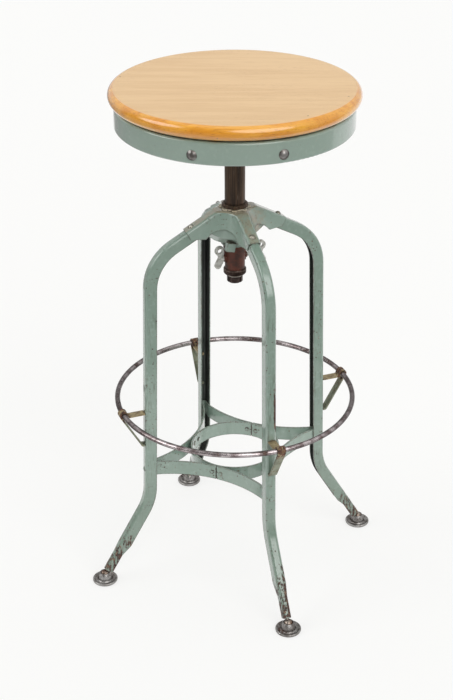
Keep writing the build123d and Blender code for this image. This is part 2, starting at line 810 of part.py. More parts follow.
def flange_seats():
    """Top of the spider, where the socket flange is riveted on."""
    return [Plane(origin=(*polar(FLANGE_CIRCLE, angle), SPIDER_TOP)) for angle in BOLT_ANGLES]


def socket_rivet():
    """A flush rivet standing on Z: its countersunk head ends just below z = 0."""
    head_r = SINK_R - 2 * GAP
    under = -2 * STRAP_T - 3 * GAP
    tail_r = SINK_R
    tail_h = SINK_R / 2
    with BuildPart() as piece:
        with BuildSketch(Plane.XZ):
            with BuildLine():
                Polyline((0, under - tail_h), (0, -GAP), (head_r, -GAP),
                         (RIVET_R, -GAP - head_r + RIVET_R), (RIVET_R, under), (tail_r, under))
                ThreePointArc(*dome(tail_r, -tail_h, under))
            make_face()
        revolve(axis=Axis.Z)
    return piece.part


def seat_socket():
    """The flanged socket that joins the spindle to the seat."""
    bore = SPINDLE_R + GAP
    top = SPIDER_TOP - STRAP_T - GAP
    under = top - SOCKET_FLANGE_T
    outline = [
        (bore, BOSS_BOTTOM),
        (SOCKET_R, BOSS_BOTTOM),
        (SOCKET_R, under - SOCKET_FLARE),
        (SOCKET_R + SOCKET_FLARE, under),
        (SOCKET_FLANGE_R, under),
        (SOCKET_FLANGE_R, top),
        (bore, top),
    ]
    with BuildPart() as piece:
        with BuildSketch(Plane.XZ):
            with BuildLine():
                Polyline(*outline, close=True)
            make_face()
        revolve(axis=Axis.Z)
        with Locations(*flange_seats()):
            Hole(radius=RIVET_R + GAP, depth=4 * STRAP_T)
        with Locations(Plane(origin=(0, SOCKET_R, PIN_Z), z_dir=(0, 1, 0))):
            Hole(radius=PIN_R + GAP, depth=2 * SOCKET_R)
    return piece


def board_screw():
    """A round-head wood screw standing on Z, its head above z = 0."""
    with BuildPart() as piece:
        with BuildSketch(Plane.XZ):
            with BuildLine():
                Polyline((0, SCREW_HEAD_H), (0, -SCREW_DEPTH), (SCREW_SHANK_R, SCREW_POINT - SCREW_DEPTH),
                         (SCREW_SHANK_R, GAP), (SCREW_HEAD_R, GAP))
                ThreePointArc(*dome(SCREW_HEAD_R, SCREW_HEAD_H - GAP, GAP))
            make_face()
        revolve(axis=Axis.Z)
    return piece.part


BOLT_HEAD_R = 7.3
BOLT_HEAD_H = 3.6
BOLT_LENGTH = 13.0
BOLT_EDGE = 0.7
BOLT_SEAT = 0.1               # the flat head touches the round skirt only on its middle line
PAN_NUT_W = 11.0
PAN_NUT_T = 5.0


def pan_bolts():
    """The round-head bolts through the skirt."""
    with BuildPart() as bolt:
        with BuildSketch(Plane.XZ):
            with BuildLine():
                Polyline((0, BOLT_HEAD_H), (0, -BOLT_LENGTH), (BOLT_R - BOLT_EDGE, -BOLT_LENGTH),
                         (BOLT_R, BOLT_EDGE - BOLT_LENGTH), (BOLT_R, BOLT_SEAT), (BOLT_HEAD_R, BOLT_SEAT))
                ThreePointArc(*dome(BOLT_HEAD_R, BOLT_HEAD_H - BOLT_SEAT, BOLT_SEAT))
            make_face()
        revolve(axis=Axis.Z)
    return rivet_group([plane_on(angle, PAN_R, BOLT_Z) for angle in BOLT_ANGLES], bolt.part)


def pan_nuts():
    """The hexagon nuts on those bolts, against the spider's ends."""
    face = PAN_R - PAN_T - STRAP_T - STRAP_GAP - 0.2
    with BuildPart() as nut:
        with BuildSketch(Plane.XY.offset(-PAN_NUT_T)):
            RegularPolygon(radius=PAN_NUT_W / 2, side_count=6, major_radius=False)
            Circle(BOLT_R + GAP, mode=Mode.SUBTRACT)
        extrude(amount=PAN_NUT_T)
    return rivet_group([plane_on(angle, face, BOLT_Z) for angle in BOLT_ANGLES], nut.part)


# ---------------------------------------------------------------- brace

NOSE_HALF = 4.5
NOSE_BEND = 2.4
EXIT_BEND = 12.0
SEAM = 1.2
HOOP_SEAM_AT = 45.0           # direction of the joint in the hoop
HOOP_RIVET_OFFSET = 7.5
HOOP_HEAD = (3.7, 0.8)        # brace rivets: head radius and height
LEG_HEAD = (4.0, 1.8)
LEG_TAIL = (2.5, 1.4)
LEAN_SLACK = 0.7              # the strap is upright, the leg leans
HOOP_SLACK = 1.4              # the hoop and the straps curve apart under the rivet
NOSE_R = shank_radius(BRACE_TOP) - LEG_T - 2 * GAP - BRACE_T / 2
EXIT_R = shank_radius(BRACE_TOP) - LEG_D - 1.0
TURN_COS, TURN_SIN = polar(1, STRAP_TURN)
SWEEP_FROM = (EXIT_R - EXIT_BEND * TURN_SIN, NOSE_HALF + EXIT_BEND * (1 - TURN_COS))
# The long arc starts STRAP_TURN off the radius and ends square to the diagonal between two legs.
SWEEP_R = (SWEEP_FROM[0] - SWEEP_FROM[1]) / (TURN_COS - TURN_SIN)
SWEEP_ANGLE = 45 - STRAP_TURN
MEET_R = (SWEEP_FROM[1] + SWEEP_R * TURN_COS) * sqrt(2) - SWEEP_R


def brace_strap(angle):
    """One corner strap, on edge: its nose in a leg, its two ends halfway to the next legs."""
    plane = Plane(origin=(0, 0, BRACE_TOP - BRACE_H), x_dir=(*polar(1, angle), 0), z_dir=(0, 0, 1))
    with BuildPart() as piece:
        with BuildSketch(plane):
            with BuildLine():
                nose = FilletPolyline((NOSE_R, 0), (NOSE_R, NOSE_HALF), (EXIT_R, NOSE_HALF),
                                      radius=NOSE_BEND)
                leave = JernArc(start=nose @ 1, tangent=(-1, 0), radius=EXIT_BEND, arc_size=-STRAP_TURN)
                JernArc(start=leave @ 1, tangent=leave % 1, radius=SWEEP_R,
                        arc_size=degrees(SEAM / 2 / SWEEP_R) - SWEEP_ANGLE)
                mirror(about=Plane.XZ)
            trace(line_width=BRACE_T)
        extrude(amount=BRACE_H)
        with Locations(brace_rivet_seat(angle)):
            Hole(radius=RIVET_R + GAP, depth=LEG_T + 3 * BRACE_T)
        with Locations(*hoop_rivet_seats()):
            Hole(radius=RIVET_R + GAP, depth=4 * BRACE_T)
    return piece


def hoop_rivet_seats():
    """Outer face of the straps on each side of each seam."""
    seats = []
    face = MEET_R + BRACE_T / 2 + (HOOP_RIVET_OFFSET + HOOP_HEAD[0]) ** 2 / 2 / SWEEP_R
    for angle in (45, 135, 225, 315):
        c, s = polar(1, angle)
        for shift in (-HOOP_RIVET_OFFSET, HOOP_RIVET_OFFSET):
            origin = (face * c - shift * s, face * s + shift * c, BRACE_TOP - BRACE_H / 2)
            seats.append(Plane(origin=origin, x_dir=(-s, c, 0), z_dir=(c, s, 0)))
    return seats


def brace_hoop():
    """The flat hoop that joins the four straps from inside, bent round to a butt joint."""
    outer = MEET_R - BRACE_T / 2 - GAP
    whole = ring(outer - BRACE_T, outer, BRACE_TOP - BRACE_H, BRACE_TOP)
    with BuildPart() as piece:
        add(whole.part)
        with Locations(*hoop_rivet_seats()):
            Hole(radius=RIVET_R + GAP, depth=5 * BRACE_T)
        with BuildSketch(radial_plane(HOOP_SEAM_AT)):
            with Locations((outer, BRACE_TOP)):
                Rectangle(4 * BRACE_T, 4 * BRACE_H)
        extrude(amount=SEAM / 2, both=True, mode=Mode.SUBTRACT)
    return piece


# ---------------------------------------------------------------- foot ring

TENON_R = 2.5
TENON_HEAD_R = 3.2
TENON_HEAD_H = 1.6
TENON_DRAFT = 20.0
HOOK_START = 165.0
HOOK_END = -30.0
BAR_BEND = 3.0
HOOK_GAP = 0.15               # the flat hook spans a curved ring


def foot_ring():
    """The round wire ring for the feet."""
    with BuildPart() as piece:
        with BuildSketch(Plane.XZ):
            with Locations((RING_R, RING_Z)):
                Circle(RING_WIRE)
        revolve(axis=Axis.Z)
    return piece


def ring_bracket(angle):
    """A bent flat bar: arm out to the ring, hook over it, and a stay down to the leg."""
    hook_r = RING_WIRE + HOOK_GAP + BAR_T / 2
    on = (RING_R + hook_r * cos(radians(HOOK_START)), RING_Z + hook_r * sin(radians(HOOK_START)))
    off = (RING_R + hook_r * cos(radians(HOOK_END)), RING_Z + hook_r * sin(radians(HOOK_END)))
    rise_r = on[0] + (UPPER_ARM_Z - on[1]) / tan(radians(HOOK_START - 90))
    drop_r = off[0] - (off[1] - LOWER_ARM_Z) * tan(radians(-HOOK_END))
    upper_start = (shank_radius(UPPER_ARM_Z) + 2 * GAP, UPPER_ARM_Z)
    lower_end = (shank_radius(LOWER_ARM_Z) + 2 * GAP, LOWER_ARM_Z)
    with BuildPart() as piece:
        with BuildSketch(radial_plane(angle)):
            with BuildLine():
                FilletPolyline(upper_start, (rise_r, UPPER_ARM_Z), on, radius=BAR_BEND)
                CenterArc((RING_R, RING_Z), hook_r, HOOK_START, HOOK_END - HOOK_START)
                FilletPolyline(off, (drop_r, LOWER_ARM_Z), lower_end, radius=BAR_BEND)
            trace(line_width=BAR_T)
        extrude(amount=BAR_W / 2, both=True)
        for height in (UPPER_ARM_Z, LOWER_ARM_Z):
            face = shank_radius(height)
            with BuildSketch(plane_on(angle, face + 1, height)):
                Circle(TENON_R)
            extrude(amount=-1 - LEG_T - 4 * GAP)
            with BuildSketch(plane_on(angle, face - LEG_T - 4 * GAP, height)):
                Circle(TENON_HEAD_R)
            extrude(amount=-TENON_HEAD_H, taper=TENON_DRAFT)
    return piece


# ---------------------------------------------------------------- feet

NECK_R = 2.8
ROOT_L = 18.0
ROOT_DEPTH = 6.6
ROOT_ROUND = INNER_BEND


def foot_plane(angle, distance):
    """Square to the splayed foot's axis, at a distance from the ball; local x is along the floor."""
    c, s = polar(1, angle)
    up, lean = polar(1, FOOT_SPLAY)
    radius = FOOT_CIRCLE - distance * lean
    return Plane(origin=(radius * c, radius * s, BALL_Z + distance * up), x_dir=(-s, c, 0),
                 z_dir=(-lean * c, -lean * s, up))


def ball_stud(angle):
    """The ball stud crimped in the pinched end of a leg."""
    inside = PINCH_W - 2 * (LEG_T + GAP)
    web_inner = WEB_TO_AXIS - LEG_T - GAP
    middle = (0, ROOT_DEPTH / 2 - web_inner)
    with BuildPart() as piece:
        with Locations((*polar(FOOT_CIRCLE, angle), BALL_Z)):
            Sphere(BALL_R)
        with BuildSketch(foot_plane(angle, 0)):
            Circle(NECK_R)
        extrude(amount=LEG_END + ROOT_ROUND)
        with BuildSketch(foot_plane(angle, LEG_END)):
            with Locations(middle):
                RectangleRounded(inside, ROOT_DEPTH, ROOT_ROUND)
        extrude(amount=ROOT_L)
    return piece


SOCKET_GAP = 0.08
CUP_LIP_Z = BALL_Z + 2.6
CUP_LIP_W = 1.1
# The glide's section outside its socket, from the flat underside round the rim and up the cup.
RIM_UNDER = [(GLIDE_R - 2.6, 0), (GLIDE_R - 0.5, 1.2), (GLIDE_R, 3.2)]
RIM_TOP = [(GLIDE_R, 3.2), (GLIDE_R - 0.9, 4.9), (GLIDE_R - 2.4, 4.6)]
DISH = [(GLIDE_R - 2.4, 4.6), (GLIDE_R - 4.6, 2.9), (12.8, 2.6)]
CUP_FOOT = [(12.8, 2.6), (11.4, 3.6), (10.8, 6.4)]
CUP_SIDE = [(10.8, 6.4), (9.6, 11.6)]


def glide(angle):
    """The swivelling foot: a rimmed disc with a raised cup around the ball."""
    socket_r = BALL_R + SOCKET_GAP
    lip = (sqrt(socket_r ** 2 - (CUP_LIP_Z - BALL_Z) ** 2), CUP_LIP_Z)
    edge = (lip[0] + CUP_LIP_W, CUP_LIP_Z + CUP_LIP_W / 2)
    bottom = (0, BALL_Z - socket_r)
    side = (socket_r * cos(radians(45)), BALL_Z - socket_r * sin(radians(45)))
    with BuildPart() as piece:
        with BuildSketch(radial_plane(angle, FOOT_CIRCLE)):
            with BuildLine():
                ThreePointArc(lip, side, bottom)
                Polyline(bottom, (0, 0), RIM_UNDER[0])
                ThreePointArc(*RIM_UNDER)
                ThreePointArc(*RIM_TOP)
                Polyline(*DISH)
                ThreePointArc(*CUP_FOOT)
                ThreePointArc(*CUP_SIDE, edge)
                Line(edge, lip)
            make_face()
        revolve(axis=Axis((*polar(FOOT_CIRCLE, angle), 0), (0, 0, 1)))
    return piece


# ---------------------------------------------------------------- all pieces


def main():
    os.makedirs("parts", exist_ok=True)
    leg_angles = LEG_ANGLES.values()

    save(seat_board(), "seat_board")
    save(seat_pan(), "seat_pan")
    save(seat_spider(), "seat_spider")
    save(seat_socket(), "seat_socket")
    save(rivet_group(flange_seats(), socket_rivet()), "socket_rivets")
    save(rivet_group(screw_seats(), board_screw()), "board_screws")
    save(pan_bolts(), "pan_bolts")
    save(pan_nuts(), "pan_nuts")
    save(spindle(), "spindle")
    save(spindle_pin(), "spindle_pin")
    low_face = POST_BOTTOM - FLANGE_T
    save(ring(BUSH_BORE, WASHER_R, low_face - WASHER_T, low_face - GAP, WASHER_EDGE), "spindle_washer")
    save(spindle_nut(), "spindle_nut")

    save(ring(TUBE_BORE, POST_R, POST_BOTTOM, POST_TOP), "post_tube")
    save(stop_collar(), "stop_collar")
    save(bush(POST_TOP, -1), "upper_bush")
    save(bush(POST_BOTTOM, 1), "lower_bush")
    high_face = POST_TOP + FLANGE_T
    save(ring(BUSH_BORE, FLANGE_R, high_face + GAP, BOSS_BOTTOM - GAP, WASHER_EDGE), "thrust_washer")

    save(upper_hub(), "hub_upper")
    save(lower_hub(), "hub_lower")
    save(guide_sleeve(), "guide_sleeve")
    save(crimp_ring(), "crimp_ring")
    save(sleeve_nut(), "sleeve_nut")
    arm_seats = [arm_rivet_seat(angle).offset(SHEET + 2 * GAP) for angle in leg_angles]
    save(rivet_group(arm_seats, rivet(HUB_HEAD, SHEET + LEG_T + 2 * GAP, HUB_TAIL)), "hub_rivets")

    for side in ("left", "right"):
        save(clamp_shoe(side), f"clamp_shoe_{side}")
        save(wing_screw(side), f"wing_screw_{side}")

    for name, angle in LEG_ANGLES.items():
        save(leg(angle), f"leg_{name}")
        save(brace_strap(angle), f"brace_strap_{name}")
        save(ring_bracket(angle), f"ring_bracket_{name}")
        save(ball_stud(angle), f"ball_stud_{name}")
        save(glide(angle), f"glide_{name}")

    save(brace_hoop(), "brace_hoop")
    leg_seats = [brace_rivet_seat(angle) for angle in leg_angles]
    leg_rivet = rivet(LEG_HEAD, LEG_T + BRACE_T + LEAN_SLACK, LEG_TAIL)
    save(rivet_group(leg_seats, leg_rivet), "brace_leg_rivets")
    hoop_rivet = rivet(HOOP_HEAD, 2 * BRACE_T + HOOP_SLACK, HOOP_HEAD)
    save(rivet_group(hoop_rivet_seats(), hoop_rivet), "brace_hoop_rivets")
    save(foot_ring(), "foot_ring")


main()
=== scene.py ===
from math import cos, degrees, radians, sin

import bpy
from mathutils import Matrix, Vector


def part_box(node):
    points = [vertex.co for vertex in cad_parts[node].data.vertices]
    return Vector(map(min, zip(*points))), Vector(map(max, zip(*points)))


# Looks of a height-adjustable work stool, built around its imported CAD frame. Metres, +Z up.
# The legs stand on -Y (front), +X (right), +Y (back) and -X (left).

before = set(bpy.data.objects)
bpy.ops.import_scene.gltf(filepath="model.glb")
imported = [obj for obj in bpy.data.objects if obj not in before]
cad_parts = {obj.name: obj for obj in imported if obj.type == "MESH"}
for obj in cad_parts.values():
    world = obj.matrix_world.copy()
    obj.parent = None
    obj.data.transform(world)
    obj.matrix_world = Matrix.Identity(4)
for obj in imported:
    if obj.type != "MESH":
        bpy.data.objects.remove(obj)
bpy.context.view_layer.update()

MM = 0.001
SIDES = ("front", "right", "back", "left")

# Heights and radii that the materials need, taken from the frame
SEAT_LOW, SEAT_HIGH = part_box("seat_board")
SEAT_R = SEAT_HIGH.x
HUB_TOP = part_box("hub_upper")[1].z
RING_LOW, RING_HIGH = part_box("foot_ring")
LEG_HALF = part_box("leg_front")[1].x

# The viewpoint: a camera that looks at the post axis from the front, a little left
VIEW_AZIMUTH = radians(-21.4)
VIEW_ELEVATION = radians(28.105)
VIEW_DISTANCE = 2.2362
VIEW_HEIGHT = 0.3707
LENS = 75.35
LENS_SHIFT = (-0.01198, 0.00144)


# ---------------------------------------------------------------- material nodes


def shade(red, green, blue):
    """A display colour, 0 to 255, as the linear colour that a node takes."""
    linear = [((c / 255 + 0.055) / 1.055) ** 2.4 if c > 10 else c / 255 / 12.92 for c in (red, green, blue)]
    return (*linear, 1.0)


class Graph:
    """One material's nodes. Each method adds a node and gives the output that is of use."""

    def __init__(self, name):
        self.material = bpy.data.materials.new(name)
        self.material.use_nodes = True
        self.nodes = self.material.node_tree.nodes
        self.links = self.material.node_tree.links
        self.nodes.clear()
        coordinates = self.add("ShaderNodeTexCoord")
        self.place = coordinates.outputs["Object"]
        self.facing = coordinates.outputs["Normal"]

    def add(self, kind, inputs=None, **settings):
        made = self.nodes.new(kind)
        for key, value in settings.items():
            setattr(made, key, value)
        for key, value in (inputs or {}).items():
            if isinstance(value, bpy.types.NodeSocket):
                self.links.new(value, made.inputs[key])
            else:
                made.inputs[key].default_value = value
        return made

    def math(self, operation, a, b=0.0):
        return self.add("ShaderNodeMath", {0: a, 1: b}, operation=operation).outputs[0]

    def product(self, *factors):
        total = factors[0]
        for factor in factors[1:]:
            total = self.math("MULTIPLY", total, factor)
        return total

    def most(self, *values):
        total = values[0]
        for value in values[1:]:
            total = self.math("MAXIMUM", total, value)
        return total

    def rise(self, value, low, high):
        """0 below low, 1 above high, smooth between. With low above high it falls instead."""
        sockets = {"Value": value, "From Min": low, "From Max": high}
        return self.add("ShaderNodeMapRange", sockets, interpolation_type="SMOOTHSTEP").outputs[0]

    def scale(self, value, low, high):
        """A 0 to 1 value carried to low to high."""
        return self.add("ShaderNodeMapRange", {"Value": value, "To Min": low, "To Max": high}).outputs[0]

    def blend(self, share, first, second):
        """A colour that goes from first to second with share."""
        made = self.add("ShaderNodeMix", {0: share, 6: first, 7: second}, data_type="RGBA")
        return made.outputs[2]

    def parts(self, vector):
        return self.add("ShaderNodeSeparateXYZ", {0: vector}).outputs

    def stretch(self, size, turn=0.0):
        """Object coordinates turned about Z, then scaled on each axis."""
        turned = self.add("ShaderNodeMapping", {"Vector": self.place, "Rotation": (0, 0, turn)})
        return self.add("ShaderNodeMapping", {"Vector": turned.outputs[0], "Scale": size}).outputs[0]

    def noise(self, scale, detail=2.0, rough=0.5, vector=None, bend=0.0):
        sockets = {"Vector": vector or self.place, "Scale": scale, "Detail": detail, "Roughness": rough,
                   "Distortion": bend}
        return self.add("ShaderNodeTexNoise", sockets).outputs[0]

    def specks(self, scale, size, chance, vector=None):
        """Small round dots: one in each cell of a jittered grid, kept with a chance."""
        cells = self.add("ShaderNodeTexVoronoi", {"Vector": vector or self.place, "Scale": scale})
        kept = self.rise(self.parts(cells.outputs["Color"])[0], 1 - chance, 1 - chance + 0.02)
        return self.product(kept, self.rise(cells.outputs["Distance"], size, size * 0.6))

    def along(self, way, vector=None):
        """How far the place, or another vector, goes in a direction."""
        both = {0: vector or self.place, 1: way}
        return self.add("ShaderNodeVectorMath", both, operation="DOT_PRODUCT").outputs["Value"]

    def radius(self):
        """Distance from the post axis."""
        flat = self.add("ShaderNodeVectorMath", {0: self.place, 1: (1, 1, 0)}, operation="MULTIPLY")
        return self.add("ShaderNodeVectorMath", {0: flat.outputs[0]}, operation="LENGTH").outputs["Value"]

    def rim(self, low=0.35, high=0.95):
        """0 where a surface faces the eye, 1 where it turns away: the mask for painted shade at the rim."""
        turned = self.add("ShaderNodeLayerWeight", {"Blend": 0.5}).outputs["Facing"]
        return self.rise(turned, low, high)

    def edges(self, reach):
        """1 on edges, fading to 0 at reach from them."""
        world = self.add("ShaderNodeNewGeometry").outputs["Normal"]
        soft = self.add("ShaderNodeBevel", {"Radius": reach}, samples=6).outputs[0]
        same = self.add("ShaderNodeVectorMath", {0: world, 1: soft}, operation="DOT_PRODUCT")
        return self.rise(same.outputs["Value"], 0.995, 0.86)

    def corners(self, reach):
        """1 in tight inner corners and seams, 0 in the open: the mask for painted shade there."""
        open_share = self.add("ShaderNodeAmbientOcclusion", {"Distance": reach}, samples=6).outputs["AO"]
        return self.rise(open_share, 0.88, 0.42)

    def relief(self, height, depth, normal=None):
        """A bump whose 0 to 1 height stands for depth metres."""
        sockets = {"Height": height, "Distance": depth, "Strength": 1.0}
        if normal:
            sockets["Normal"] = normal
        return self.add("ShaderNodeBump", sockets).outputs[0]

    def surface(self, colour, roughness, metallic=0.0, normal=None, coat=0.0, coat_roughness=0.1):
        sockets = {"Base Color": colour, "Roughness": roughness, "Metallic": metallic,
                   "Coat Weight": coat, "Coat Roughness": coat_roughness}
        if normal:
            sockets["Normal"] = normal
        shader = self.add("ShaderNodeBsdfPrincipled", sockets)
        self.add("ShaderNodeOutputMaterial", {"Surface": shader.outputs[0]})
        return self.material


# ---------------------------------------------------------------- finishes

JADE = shade(139, 158, 146)
JADE_DEEP = shade(128, 149, 136)
JADE_PALE = shade(161, 179, 168)
JADE_RIM_SHADE = shade(62, 80, 70)
STAIN = shade(96, 108, 94)
TAN_STAIN = shade(156, 142, 120)
RUST = shade(84, 58, 47)
RUST_DARK = shade(58, 42, 37)
RUST_TAN = shade(120, 98, 80)
GRIME_SHADE = shade(70, 64, 52)
METAL_RIM_SHADE = shade(46, 38, 36)
CHANNEL_SHADE = shade(30, 34, 30)
WOOD_PALE = shade(233, 197, 148)
WOOD_DEEP = shade(226, 188, 138)
WOOD_GRAIN = shade(206, 164, 118)
WOOD_PORE = shade(176, 132, 92)
WOOD_BARE = shade(236, 214, 176)
WOOD_NICK = shade(92, 58, 34)
AMBER = shade(244, 176, 62)
AMBER_DEEP = shade(228, 150, 40)
AMBER_GRAIN = shade(176, 104, 24)
TUBE_BROWN = shade(98, 76, 58)
TUBE_DARK = shade(52, 41, 34)
TUBE_RUB_SHEEN = shade(132, 120, 110)
TUBE_RED = shade(96, 48, 33)
TUBE_RED_DARK = shade(66, 38, 28)
BAR_TAN = shade(168, 152, 116)
BAR_BROWN = shade(128, 112, 82)
STAY_PAINT = shade(140, 146, 126)
STAY_PAINT_DEEP = shade(116, 120, 100)
BAR_RUST = shade(112, 74, 54)
CASTING = shade(206, 206, 200)
CASTING_DEEP = shade(168, 166, 158)
CASTING_DIRT_SHADE = shade(70, 60, 50)
CASTING_PIT = shade(104, 94, 84)


def enamel(name, pale=0.0, wear_share=1.0, streaks=0.15, seam=4 * MM, rust_at=None, grime_at=None,
           painted_shade_at=None):
    """Old glossy jade enamel. Chips and worn edges come by themselves, and so do dirt and painted shade in
    seams and corners, and painted shade at the rim; the rest by place.
    """
    g = Graph(name)
    ragged = g.noise(260, 5, 0.7)
    drips = g.noise(1.0, 4, 0.65, g.stretch((260, 260, 34)))
    colour = g.blend(g.rise(g.noise(9, 3), 0.35, 0.65), JADE, JADE_DEEP)
    colour = g.blend(pale, colour, JADE_PALE)
    colour = g.blend(g.product(g.rise(g.noise(160, 4), 0.5, 0.75), 0.35), colour, JADE_PALE)
    height = g.parts(g.place)[2]
    stain = g.product(g.rise(drips, 0.50, 0.68), g.rise(g.noise(24, 3), 0.35, 0.6),
                      g.rise(height, 0.52, 0.47), streaks)
    # Darker towards the bottom too, below 0.24 m.
    stain = g.most(stain, g.product(g.rise(height, 0.24, 0.1), streaks, g.scale(drips, 0.2, 0.75)))
    colour = g.blend(stain, colour, STAIN)
    chips = g.product(g.rise(g.noise(260, 4, 0.65), 0.60, 0.65), g.rise(g.noise(30), 0.45, 0.6))
    chips = g.most(chips, g.specks(150, 0.2, 0.16), g.specks(70, 0.1, 0.22))
    worn = g.product(g.edges(2.2 * MM), g.rise(g.math("ADD", ragged, g.product(drips, 0.5)), 0.62, 0.76))
    rust = g.product(g.most(chips, worn), wear_share)
    if rust_at:
        torn = g.math("ADD", g.product(ragged, 0.4), g.product(drips, 0.8))
        rust = g.most(rust, g.rise(g.math("ADD", rust_at(g), torn), 1.0, 1.12))
    # Painted shade with dirt in seams and corners, from an occlusion mask.
    grime_and_shade = g.product(g.corners(seam), 0.85)
    if grime_at:
        cover = g.math("ADD", grime_at(g), g.product(g.noise(110, 6, 0.7), 1.0))
        colour = g.blend(g.product(g.rise(cover, 0.62, 1.1), 0.85), colour, TAN_STAIN)
        spots = g.product(g.rise(cover, 0.85, 1.25), g.rise(ragged, 0.54, 0.64), 0.7)
        colour = g.blend(spots, colour, RUST)
    bare = g.blend(g.rise(g.noise(300, 4), 0.4, 0.62), RUST_DARK, RUST)
    bare = g.blend(g.rise(g.noise(120, 3), 0.52, 0.7), bare, RUST_TAN)
    # Darkens the enamel there: painted shade with dirt.
    colour = g.blend(g.product(grime_and_shade, 0.8), colour, GRIME_SHADE)
    # Painted shade: darker jade where the surface turns away from the eye.
    colour = g.blend(g.product(g.rim(0.5, 0.98), 0.45), colour, JADE_RIM_SHADE)
    colour = g.blend(rust, colour, bare)
    roughness = g.scale(rust, 0.22, 0.75)
    roughness = g.most(roughness, g.product(grime_and_shade, 0.6))
    # Painted shade, with some dirt, on the inside faces of the leg channels.
    if painted_shade_at:
        dark = painted_shade_at(g)
        colour = g.blend(g.product(dark, 0.93), colour, CHANNEL_SHADE)
        roughness = g.most(roughness, g.product(dark, 0.7))
    peel = g.relief(g.noise(420, 1), 0.05 * MM)
    pits = g.relief(g.math("SUBTRACT", 1.0, rust), 0.12 * MM, peel)
    return g.surface(colour, roughness, 0.0, pits, g.scale(rust, 1.0, 0.0), 0.06)


def leg_rust(g):
    """Legs rust at the feet. The front one rusts most, and its right edge is worn above the ring."""
    x, y, z = g.parts(g.place)
    front_right = g.product(g.rise(x, 0.0, 4 * MM), g.rise(y, 0.0, -0.1), 0.35)
    foot = g.product(g.rise(z, 190 * MM, 22 * MM), g.math("ADD", front_right, 1.0))
    patch = g.product(g.rise(x, LEG_HALF - 9 * MM, LEG_HALF - 3 * MM), g.rise(y, 0.0, -0.1),
                      g.rise(z, RING_HIGH.z - 25 * MM, RING_HIGH.z + 25 * MM),
                      g.rise(z, RING_HIGH.z + 130 * MM, RING_HIGH.z + 60 * MM))
    return g.most(g.product(foot, 0.5), g.product(patch, 0.6))


def leg_inside_shade(g):
    """Painted shade, with some dirt, on the inside of a channel: between its flanges, and not the outer web
    face.
    """
    x, y, z = g.parts(g.place)
    across = g.math("MINIMUM", g.math("ABSOLUTE", x), g.math("ABSOLUTE", y))
    inner = g.scale(g.rise(z, 25 * MM, 55 * MM), 3.9 * MM, LEG_HALF - 1.4 * MM)
    between = g.rise(g.math("SUBTRACT", inner, across), 0.0, 0.4 * MM)
    flat = g.add("ShaderNodeVectorMath", {0: g.place, 1: (1, 1, 0)}, operation="MULTIPLY").outputs[0]
    outward = g.add("ShaderNodeVectorMath", {0: flat}, operation="NORMALIZE").outputs[0]
    outward = g.add("ShaderNodeVectorMath", {0: outward, 1: (0, 0, 0.8)}).outputs[0]
    along = g.add("ShaderNodeVectorMath", {0: outward, 1: g.facing}, operation="DOT_PRODUCT")
    return g.product(between, g.rise(along.outputs["Value"], 0.45, 0.25))


def hub_grime(g):
    """Tan stains round the post and down the top of each arm, most on the front and right."""
    x, y, z = g.parts(g.place)
    across = g.math("MINIMUM", g.math("ABSOLUTE", x), g.math("ABSOLUTE", y))
    up = g.rise(g.parts(g.facing)[2], 0.45, 0.8)
    centre = g.rise(g.radius(), 46 * MM, 18 * MM)
    ridge = g.product(g.rise(across, 10 * MM, 5 * MM), 0.42)
    corner = g.product(g.rise(g.math("SUBTRACT", x, y), 20 * MM, 44 * MM),
                       g.rise(g.radius(), 62 * MM, 26 * MM), 0.45)
    return g.most(g.product(up, g.most(centre, ridge)), corner)


def wood(name):
    """Varnished wood: pale worn top with fine grain, amber varnish left on the rounded edge."""
    g = Graph(name)
    turn = -VIEW_AZIMUTH
    cloud = g.noise(5, 3, 0.5, g.stretch((1.0, 3.0, 3.0), turn))
    bands = g.noise(1.0, 4, 0.55, g.stretch((5.0, 55.0, 55.0), turn), 0.4)
    grain = g.noise(1.0, 5, 0.6, g.stretch((28.0, 520.0, 520.0), turn))
    pores = g.noise(1.0, 2, 0.5, g.stretch((120.0, 1500.0, 1500.0), turn))
    flecks = g.product(g.rise(pores, 0.62, 0.70), g.rise(cloud, 0.4, 0.6))
    top = g.blend(g.rise(bands, 0.38, 0.62), WOOD_PALE, WOOD_DEEP)
    top = g.blend(g.product(g.rise(grain, 0.5, 0.7), 0.35), top, WOOD_GRAIN)
    top = g.blend(g.product(flecks, 0.5), top, WOOD_PORE)
    amber = g.blend(g.rise(bands, 0.35, 0.65), AMBER, AMBER_DEEP)
    amber = g.blend(g.product(g.rise(grain, 0.5, 0.7), 0.5), amber, AMBER_GRAIN)
    side = g.rise(g.parts(g.facing)[2], 0.992, 0.93)
    colour = g.blend(side, top, amber)
    low = g.rise(g.parts(g.place)[2], SEAT_LOW.z + 5.2 * MM, SEAT_LOW.z + 3.6 * MM)
    colour = g.blend(g.product(low, g.rise(g.noise(60), 0.35, 0.55)), colour, WOOD_BARE)
    nicks = g.product(g.specks(95, 0.14, 0.12), g.rise(g.radius(), SEAT_R - 22 * MM, SEAT_R - 15 * MM))
    colour = g.blend(nicks, colour, WOOD_NICK)
    roughness = g.scale(side, 0.42, 0.2)
    bump = g.relief(grain, 0.01 * MM)
    return g.surface(colour, roughness, 0.0, bump, g.scale(side, 0.15, 1.0), 0.04)


